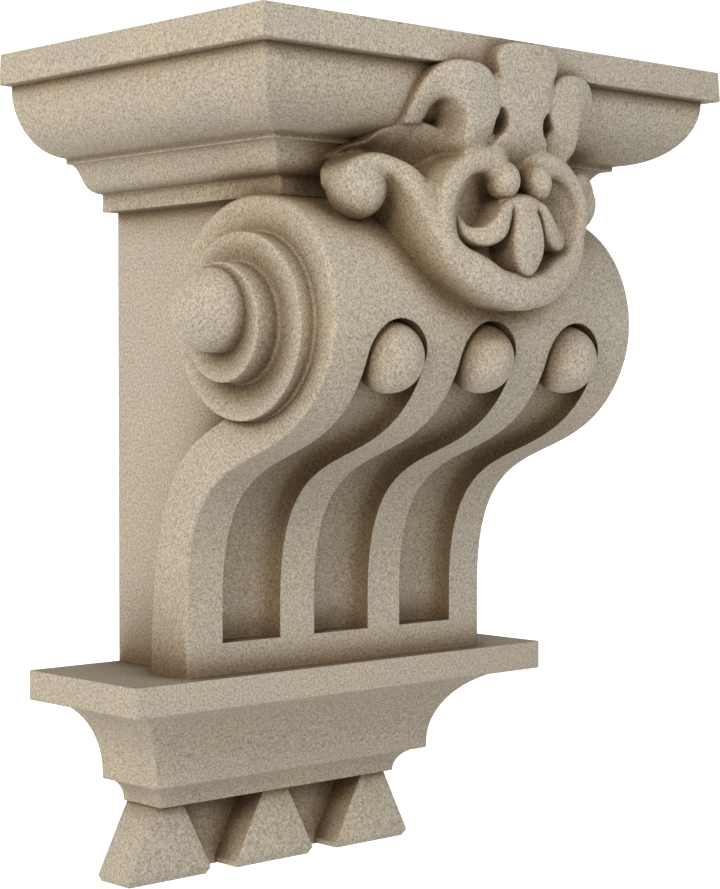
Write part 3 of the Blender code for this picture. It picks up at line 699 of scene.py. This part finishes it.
CENTRE_PETAL = [
    (0, -98, 284, 10, 5, 200), (0, -86, 292, 21, 4, 200), (0, -73, 301, 27, 3, 200),
    (0, -63, 305.5, 18.5, 3, 200), (0, -54, 306.5, 18, 3, 205), (0, -46.5, 307, 24, 3, 215),
    (0, -34, 307.5, 25, 4, 240), (0, -19, 309, 30, 4, 260), (0, -10, 310.5, 27, 5, 270),
    (0, -4.6, 311, 16, 5, 275),
]
HOOKED_PETAL = [
    (-26, -92, 284, 8, 5, 200), (-35, -79, 294, 13, 4, 200), (-39.5, -70, 300, 15.3, 3, 205),
    (-41.8, -63, 304, 13.8, 3, 215), (-42, -56, 305, 14.2, 3, 225), (-41.5, -48.5, 305, 18, 3, 230),
    (-44.5, -39.5, 305, 19, 4, 235), (-55.5, -34.3, 304, 15, 4, 245),
    (-66.5, -34, 300, 12.8, 5, 245), (-74, -38.8, 294, 11, 5, 240),
    (-77.5, -46.5, 287, 9.5, 5, 235), (-78, -54.5, 281, 8.7, 5, 232), (-78, -62, 275, 7.5, 5, 230),
]
POINTED_LEAF = [
    (-38, -85, 289, 9.5, 4, 185), (-53, -84, 286, 15.5, 4, 185), (-66, -80.5, 280, 19.5, 4, 185),
    (-74, -79.5, 275, 20.5, 5, 185), (-82, -80.5, 271, 19, 5, 185), (-91, -80.5, 265, 16.5, 6, 185),
    (-99.5, -82, 259, 10, 6, 185), (-107, -83, 251, 8, 5, 185), (-114, -85, 244, 4.5, 4, 185),
]
SCROLL_ARM = [
    (-116, -104, 258, 6, 6, 230), (-117, -95, 260, 7, 7, 230), (-109, -89.5, 264, 7, 7, 228),
    (-99, -88.5, 268, 7, 7, 225), (-90, -91.5, 273, 7, 7, 215), (-82.5, -97.5, 279, 9, 8, 200),
    (-75.5, -108, 285, 10.3, 8, 200), (-70, -122, 291, 9.8, 8, 200), (-64.8, -138, 296, 9, 8, 200),
    (-54.3, -152, 300, 11, 9, 200), (-38, -161.5, 304, 13, 9, 200),
    (-19.4, -170.5, 307, 12.5, 9, 200), (8, -173.5, 308, 12.5, 9, 200),
]
INNER_CURL = [
    (-63, -140, 296, 6, 6, 250), (-67, -124, 297, 7.5, 7, 250), (-65, -108, 299, 8, 7, 250),
    (-53, -92.5, 300, 7.5, 7, 250), (-37, -84.5, 301, 9.5, 8, 250), (-23, -85.5, 301, 11.5, 8, 255),
    (-16.5, -93, 301, 11, 8, 265), (-17, -99, 300, 9, 8, 275),
]
SMALL_LEAF = [
    (-9, -110.5, 303, 3, 3, 270), (-17, -116, 306, 4.5, 4, 268), (-21, -123.2, 307, 5.9, 4, 265),
    (-25.8, -131.2, 306.5, 7.8, 4, 265), (-34.4, -136.5, 303.5, 7, 4, 265),
    (-42.8, -136, 299, 6, 4, 262), (-48.3, -131.3, 294, 4.6, 4, 258),
    (-50.3, -122, 288.5, 2.3, 3, 255),
]
BUD = [
    (0, -110, 303, 6, 4, 270), (0, -114.5, 306, 10, 5, 270), (0, -121, 308.5, 12.8, 6, 270),
    (0, -131, 311, 14.3, 6, 270), (0, -141.5, 311.5, 15.2, 6, 270), (0, -150, 310.5, 13.8, 6, 270),
    (0, -157, 309, 10, 5, 270), (0, -161, 308, 6.3, 4, 270), (0, -163, 307, 3, 4, 270),
]
LEAF_TILT = 42.0


def carved_band(name, keys, side, collection, steps=6, squareness=2.4, tilt=0.0):
    """A carved member swept along key rows of (x, z, front d, half width, crown, root d): its front is
    rounded by the crown, sloped back across its width by the tilt, and its sides run straight back."""
    rows = smooth_row(keys, steps)
    rings = []
    for i, (x, z, front, half, crown, root) in enumerate(rows):
        before = rows[max(i - 1, 0)]
        after = rows[min(i + 1, len(rows) - 1)]
        run = Vector((after[0] - before[0], after[1] - before[1])).normalized()
        across = Vector((-run.y, run.x))
        ring = []
        for u, v in crowned_section(squareness):
            depth = front - crown + v * crown - tilt * (1.0 + u) / 2.0 if v >= 0.0 else root
            ring.append(sheet_point(side * (x + across.x * u * half), z + across.y * u * half, depth))
        rings.append(ring)
    return lofted(name, rings, collection)


def crowned_section(squareness):
    """Across a carved member: (share of its half width, share of its crown), then its two back corners."""
    points = []
    for k in range(SECTION_SIDES - 2):
        angle = math.pi * k / (SECTION_SIDES - 3)
        u = math.copysign(abs(math.cos(angle)) ** (2.0 / squareness), math.cos(angle))
        points.append((u, max(math.sin(angle), 0.0) ** (2.0 / squareness)))
    return points + [(-1.0, -1.0), (1.0, -1.0)]


def dish(collection):
    """The hollowed body of the ring, from the console's head out to its rim."""
    middle_z = -123.0
    # each loop: half width, drop below the middle, rise above it, and d
    loops = [(70, 56, 44, SHEET_BACK), (70, 56, 44, 285), (66, 50, 43, 292), (62, 44, 42, 295),
             (56, 38, 38, 291), (44, 30, 30, 285), (22, 15, 15, 282)]
    segments = 64
    rings = []
    for half, below, above, d in smooth_row(loops, 3):
        ring = []
        for k in range(segments):
            angle = math.tau * k / segments
            z = math.sin(angle) * (above if math.sin(angle) > 0 else below)
            ring.append(sheet_point(half * math.cos(angle), middle_z + z, d))
        rings.append(ring)
    return lofted("dish", rings, collection)


def palmette(collection):
    """The ring with its curls, the scrolled arms at its sides and the petals over it."""
    dish(collection)
    carved_band("centre_petal", CENTRE_PETAL, 1, collection, squareness=3.0)
    unit = ORNAMENT_HEIGHT / SHEET_HEIGHT
    for side in (1, -1):
        carved_band("hooked_petal", HOOKED_PETAL, side, collection, squareness=3.0)
        carved_band("pointed_leaf", POINTED_LEAF, side, collection, tilt=LEAF_TILT)
        carved_band("scroll_arm", SCROLL_ARM, side, collection)
        carved_band("inner_curl", INNER_CURL, side, collection)
        ball("curl_knob", sheet_point(side * -15.8, -97.5, 297), (12.3 * unit, 12.3 * unit, 13.6 * unit),
             collection, rings=16, segments=32)
        ball("scroll_knob", sheet_point(side * -105.4, -104, 247), (20.3 * unit, 22 * unit, 21.8 * unit),
             collection, rings=16, segments=32)


def collared_bud(collection):
    """The bud hanging in the ring from the collar that the small leaves also spring from."""
    unit = ORNAMENT_HEIGHT / SHEET_HEIGHT
    ball("collar", sheet_point(0, -113, 298), (21.5 * unit, 8.8 * unit, 7.5 * unit), collection,
         rings=16, segments=32)
    carved_band("bud", BUD, 1, collection)


def small_leaves(collection):
    """The small leaves curled beside the bud, with crisp edges."""
    for side in (1, -1):
        carved_band("small_leaf", SMALL_LEAF, side, collection)


def join(items, name):
    """One object out of several, without cutting them."""
    mesh = bmesh.new()
    for item in items:
        mesh.from_mesh(item.data)
    whole = bpy.data.meshes.new(name)
    mesh.to_mesh(whole)
    mesh.free()
    for item in items:
        bpy.data.objects.remove(item, do_unlink=True)
    joined = bpy.data.objects.new(name, whole)
    bpy.context.scene.collection.objects.link(joined)
    return joined


def fused(items, name):
    """Overlapping forms run together into one carved surface, with soft hollows where they meet."""
    carving = join(items, name)
    remesh = carving.modifiers.new("fuse", "REMESH")
    remesh.mode = "VOXEL"
    remesh.voxel_size = CARVING_VOXEL
    soften = carving.modifiers.new("soften", "SMOOTH")
    soften.factor = 0.5
    soften.iterations = 5
    apply_modifiers(carving)
    mesh = bmesh.new()
    mesh.from_mesh(carving.data)
    buried = [vert for vert in mesh.verts if -vert.co.y < surface_depth(vert.co.z) - CARVING_SUNK]
    bmesh.ops.delete(mesh, geom=buried, context="VERTS")
    mesh.to_mesh(carving.data)
    mesh.free()
    return carving


def surface_depth(z):
    """How far the plain stone behind the carving stands out from the wall at a height."""
    if z < cap_bottom():
        centre = head_centre()
        return centre[0] + math.sqrt(max(HEAD_RADIUS ** 2 - (z - centre[1]) ** 2, 0.0))
    profile = cap_profile()
    for (high_inset, high), (low_inset, low) in zip(profile, profile[1:]):
        if low <= z < high:
            return CAP_DEPTH - high_inset - (low_inset - high_inset) * (high - z) / (high - low)
    return CAP_DEPTH


def stone_material():
    """Fine-grained buff sandstone: speckled, slightly rough, with painted shade that makes its hollows,
    crevices, flutes and ledge top browner and darker.
    """
    material = bpy.data.materials.new("sandstone")
    material.use_nodes = True
    tree = material.node_tree
    nodes = tree.nodes
    links = tree.links
    shader = nodes["Principled BSDF"]
    shader.inputs["Roughness"].default_value = STONE_ROUGHNESS
    shader.inputs["Specular IOR Level"].default_value = 0.25
    where = nodes.new("ShaderNodeTexCoord")

    def noise(scale, detail, roughness):
        node = nodes.new("ShaderNodeTexNoise")
        node.inputs["Scale"].default_value = scale
        node.inputs["Detail"].default_value = detail
        node.inputs["Roughness"].default_value = roughness
        links.new(where.outputs["Object"], node.inputs["Vector"])
        return node.outputs["Fac"]

    def ramp(value, stops):
        node = nodes.new("ShaderNodeValToRGB")
        elements = node.color_ramp.elements
        while len(elements) < len(stops):
            elements.new(0.5)
        for element, (position, colour) in zip(elements, stops):
            element.position = position
            element.color = colour + (1.0,)
        links.new(value, node.inputs["Fac"])
        return node.outputs["Color"]

    def mixed(kind, share, a, b):
        node = nodes.new("ShaderNodeMix")
        node.data_type = "RGBA"
        node.blend_type = kind
        for socket, value in ((0, share), (6, a), (7, b)):
            if isinstance(value, (float, tuple)):
                node.inputs[socket].default_value = value
            else:
                links.new(value, node.inputs[socket])
        return node.outputs[2]

    def height_share(z):
        return (z - BOTTOM) / TOTAL_HEIGHT

    def height(z):
        node = nodes.new("ShaderNodeMapRange")
        node.inputs["From Min"].default_value = BOTTOM
        node.inputs["From Max"].default_value = TOP
        links.new(z, node.inputs["Value"])
        return node.outputs["Result"]

    def product(a, b):
        node = nodes.new("ShaderNodeMath")
        node.operation = "MULTIPLY"
        links.new(a, node.inputs[0])
        links.new(b, node.inputs[1])
        return node.outputs["Value"]

    base = ramp(noise(14.0, 4.0, 0.6), [(0.3, WARM_STONE), (0.7, GREY_STONE)])
    speckle = ramp(noise(620.0, 2.0, 0.6), [(0.30, (0.60, 0.59, 0.57)), (0.5, (1.0, 1.0, 1.0)),
                                            (0.70, (1.34, 1.34, 1.32))])
    colour = mixed("MULTIPLY", 1.0, base, speckle)
    # Painted shade: each point darkened and browned by how closed in it is, at a crevice reach and at a
    # hollow reach
    for reach, shade_stops in ((CREVICE_REACH, CREVICE_PAINTED_SHADE), (HOLLOW_REACH, HOLLOW_PAINTED_SHADE)):
        hollow = nodes.new("ShaderNodeAmbientOcclusion")
        hollow.samples = 8
        hollow.inputs["Distance"].default_value = reach
        colour = mixed("MULTIPLY", 1.0, colour, ramp(hollow.outputs["AO"], shade_stops))
    surface = nodes.new("ShaderNodeNewGeometry")
    facing = nodes.new("ShaderNodeSeparateXYZ")
    links.new(surface.outputs["Normal"], facing.inputs["Vector"])
    place = nodes.new("ShaderNodeSeparateXYZ")
    links.new(where.outputs["Object"], place.inputs["Vector"])
    black = (0.0, 0.0, 0.0)
    white = (1.0, 1.0, 1.0)
    # Painted shade: upward faces near the ledge top darkened
    level = ramp(facing.outputs["Z"], [(0.90, black), (0.98, white)])
    up = height(place.outputs["Z"])
    low = ramp(up, [(height_share(LEDGE_TOP + 0.03), white), (height_share(LEDGE_TOP + 0.04), black)])
    colour = mixed("MULTIPLY", product(level, low), colour, LEDGE_TOP_PAINTED_SHADE + (1.0,))
    in_flute = ramp(hollow.outputs["AO"], [(0.62, white), (0.92, black)])
    sideways = nodes.new("ShaderNodeMath")
    sideways.operation = "ABSOLUTE"
    links.new(facing.outputs["X"], sideways.inputs[0])
    wall = ramp(sideways.outputs["Value"], [(0.25, black), (0.80, white)])

    def between(heights):
        return ramp(up, list(zip(map(height_share, heights), (black, white, white, black))))

    # Painted shade in the flutes: deep hollows darkened on their floors between the floor heights and on
    # their side walls between the wall heights
    colour = mixed("MULTIPLY", product(in_flute, between(FLUTE_SHADE_HEIGHTS)), colour, FLUTE_PAINTED_SHADE + (1.0,))
    shaded_wall = product(product(in_flute, wall), between(FLUTE_WALL_SHADE_HEIGHTS))
    colour = mixed("MULTIPLY", shaded_wall, colour, FLUTE_WALL_PAINTED_SHADE + (1.0,))
    links.new(colour, shader.inputs["Base Color"])
    grain = nodes.new("ShaderNodeBump")
    grain.inputs["Strength"].default_value = 0.45
    grain.inputs["Distance"].default_value = 0.0006
    links.new(noise(900.0, 3.0, 0.6), grain.inputs["Height"])
    arris = nodes.new("ShaderNodeBevel")
    arris.samples = 4
    arris.inputs["Radius"].default_value = 0.0012
    links.new(arris.outputs["Normal"], grain.inputs["Normal"])
    links.new(grain.outputs["Normal"], shader.inputs["Normal"])
    return material


def plain_material(name, colour, roughness):
    """A material of one colour, for the stage."""
    material = bpy.data.materials.new(name)
    material.use_nodes = True
    shader = material.node_tree.nodes["Principled BSDF"]
    shader.inputs["Base Color"].default_value = colour + (1.0,)
    shader.inputs["Roughness"].default_value = roughness
    return material


def corbel():
    """The whole stone: its architecture cut as one body, the volutes, balls and carving run into it."""
    scene_collection = bpy.context.scene.collection
    body = moulding("corbel_stone", cap_profile(), CAP_WIDTH, CAP_DEPTH, scene_collection)
    added = new_collection("added")
    moulding("ledge", ledge_profile(), LEDGE_WIDTH, LEDGE_DEPTH, added)
    guttae(added)
    console_pieces(added)
    boolean(body, added, "UNION")
    discard(added)
    flutes = new_collection("flutes")
    for x in flute_centres():
        flute_cutter(x, flutes)
    boolean(body, flutes, "DIFFERENCE")
    discard(flutes)
    rounds = new_collection("rounds")
    for side in (1, -1):
        volute(side, rounds)
    flute_balls(rounds)
    carving = new_collection("carving")
    palmette(carving)
    bud = new_collection("bud")
    collared_bud(bud)
    small_leaves(rounds)
    parts = [body] + list(rounds.objects)
    parts += [fused(list(carving.objects), "carving"), fused(list(bud.objects), "bud")]
    stone = join(parts, "corbel_stone")
    for emptied in (rounds, carving, bud):
        bpy.data.collections.remove(emptied)
    stone.data.shade_smooth()
    stone.data.set_sharp_from_angle(angle=math.radians(35.0))
    stone.data.materials.append(stone_material())
    return stone


def stage():
    """A pale floor that sweeps up into a plain backdrop."""
    sweep = [(-3.0, FLOOR_Z), (1.2, FLOOR_Z)]
    sweep += [(1.2 + 1.5 * math.sin(a), FLOOR_Z + 1.5 * (1 - math.cos(a)))
              for a in (math.radians(10.0 * i) for i in range(1, 10))]
    sweep += [(2.7, 5.0)]
    points = [(x, y, z) for x in (-7.0, 7.0) for y, z in sweep]
    count = len(sweep)
    faces = [[k, k + 1, count + k + 1, count + k] for k in range(count - 1)]
    mesh = bpy.data.meshes.new("backdrop")
    mesh.from_pydata(points, [], faces)
    mesh.shade_smooth()
    backdrop = bpy.data.objects.new("backdrop", mesh)
    bpy.context.scene.collection.objects.link(backdrop)
    backdrop.data.materials.append(plain_material("pale_floor", (0.90, 0.90, 0.90), 0.9))
    lit = plain_material("lit_backdrop", (0.92, 0.92, 0.92), 0.9)
    shader = lit.node_tree.nodes["Principled BSDF"]
    shader.inputs["Emission Color"].default_value = (1.0, 1.0, 1.0, 1.0)
    shader.inputs["Emission Strength"].default_value = 0.75
    backdrop.data.materials.append(lit)
    for face in backdrop.data.polygons:
        face.material_index = 1 if face.center.y > 1.0 else 0


def area_light(name, energy, size, place, colour):
    """A square soft light aimed at the corbel's middle."""
    light = bpy.data.lights.new(name, "AREA")
    light.energy = energy
    light.size = size
    light.color = colour
    item = bpy.data.objects.new(name, light)
    bpy.context.scene.collection.objects.link(item)
    item.location = place
    item.rotation_euler = (Vector(LIGHT_AIM) - Vector(place)).to_track_quat("-Z", "Y").to_euler()


def camera():
    """The photograph's viewpoint: at the corbel's front left, just above its middle."""
    data = bpy.data.cameras.new("camera")
    data.lens = CAMERA_LENS
    data.sensor_width = 36.0
    item = bpy.data.objects.new("camera", data)
    bpy.context.scene.collection.objects.link(item)
    forward = Vector(CAMERA_FORWARD).normalized()
    right = Vector(CAMERA_RIGHT).normalized()
    up = right.cross(forward)
    turn = Matrix((right, up, -forward)).transposed().to_4x4()
    item.matrix_world = Matrix.Translation(CAMERA_PLACE) @ turn
    bpy.context.scene.camera = item


def world():
    """Dim, even light from all round."""
    light = bpy.data.worlds.new("studio")
    bpy.context.scene.world = light
    light.use_nodes = True
    background = light.node_tree.nodes["Background"]
    background.inputs["Color"].default_value = (0.95, 0.97, 1.0, 1.0)
    background.inputs["Strength"].default_value = 0.30


stone = corbel()
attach(stone, "root")
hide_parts("corbel")
stage()
area_light("key", 60.0, 1.2, (-2.7, -1.1, 1.0), (1.0, 0.95, 0.87))
area_light("fill", 32.0, 1.6, (0.3, -2.2, 1.2), (0.95, 0.97, 1.0))
world()
camera()
bpy.context.scene.view_settings.view_transform = "Standard"
